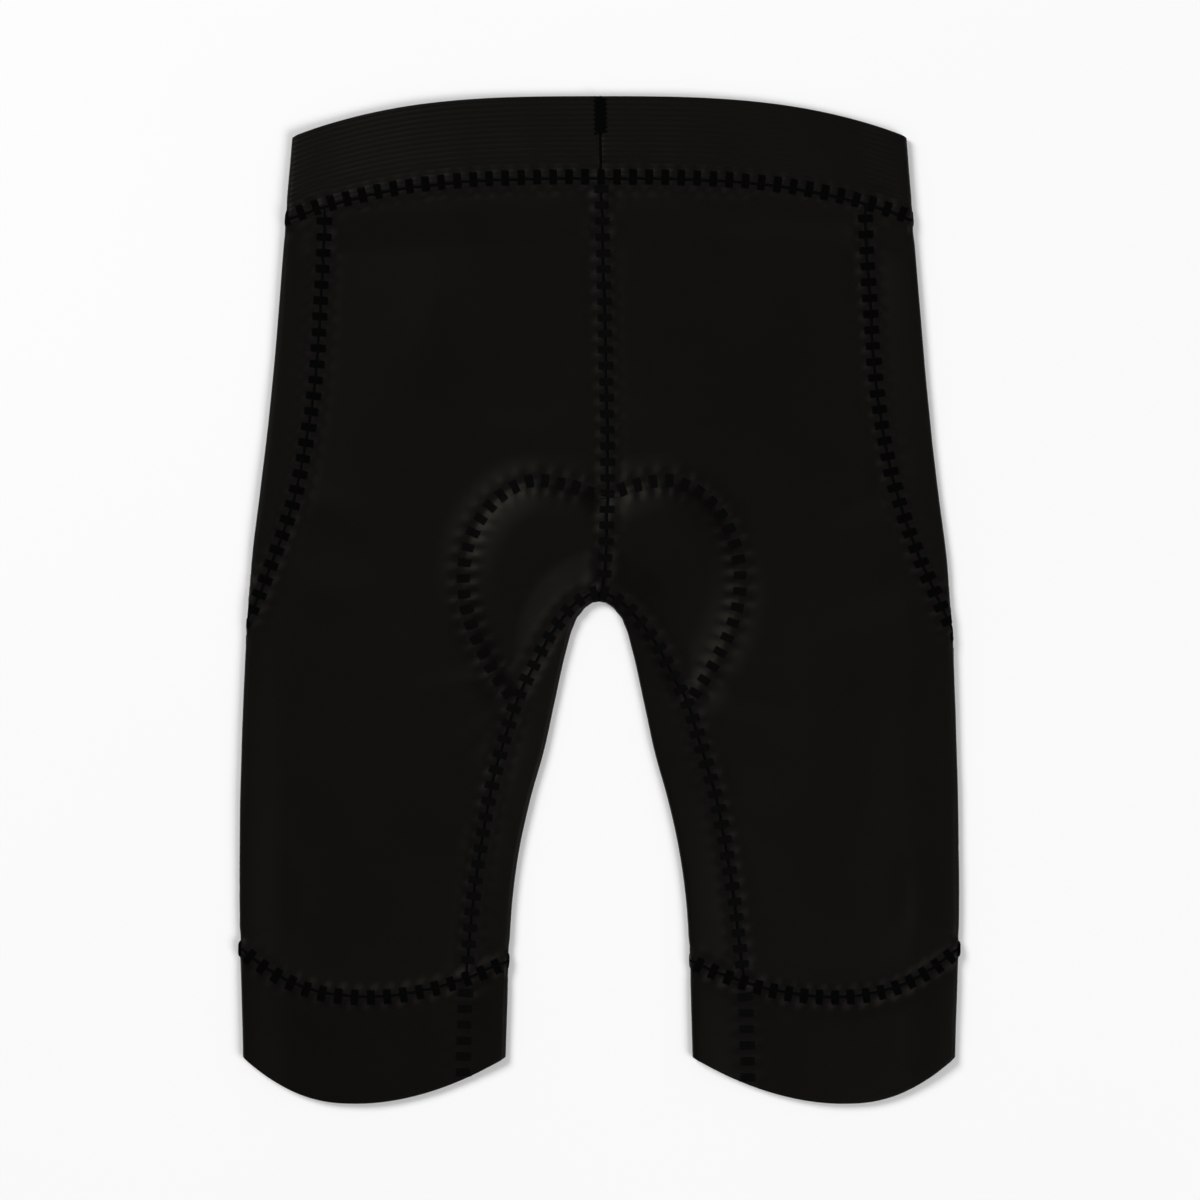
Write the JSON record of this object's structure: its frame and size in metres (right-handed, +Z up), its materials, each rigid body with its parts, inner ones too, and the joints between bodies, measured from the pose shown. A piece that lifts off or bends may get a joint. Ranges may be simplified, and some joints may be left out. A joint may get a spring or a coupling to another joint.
{
  "type": "triathlon shorts",
  "caption": "Thigh-length stretch-knit triathlon shorts with a seat pad, elastic waistband and gripper leg bands, laid flat with the back upwards.",
  "frame": {"origin": "on the surface the shorts lie on, under the middle of their box", "axes": "+Y towards the waist, +Z up out of the surface, -X towards the wearer's left, since they lie on their front"},
  "size_m": [0.36, 0.504, 0.0079],
  "materials": {
    "knit": "matt black polyamide and elastane warp knit with a faint sheen",
    "waist_elastic": "matt black doubled knit over flat elastic, finely ribbed",
    "leg_gripper": "matt black firm elastic knit",
    "pad_foam": "brushed black fleece over foam",
    "thread": "black textured polyester sewing thread"
  },
  "bodies": {
    "root": {"waistband": "waist_elastic", "back_left": "knit", "back_right": "knit", "front_left": "knit", "front_right": "knit", "inner_leg_left": "knit", "inner_leg_right": "knit", "leg_band_left": "leg_gripper", "leg_band_right": "leg_gripper", "seat_pad": "pad_foam"}
  },
  "joints": []
}
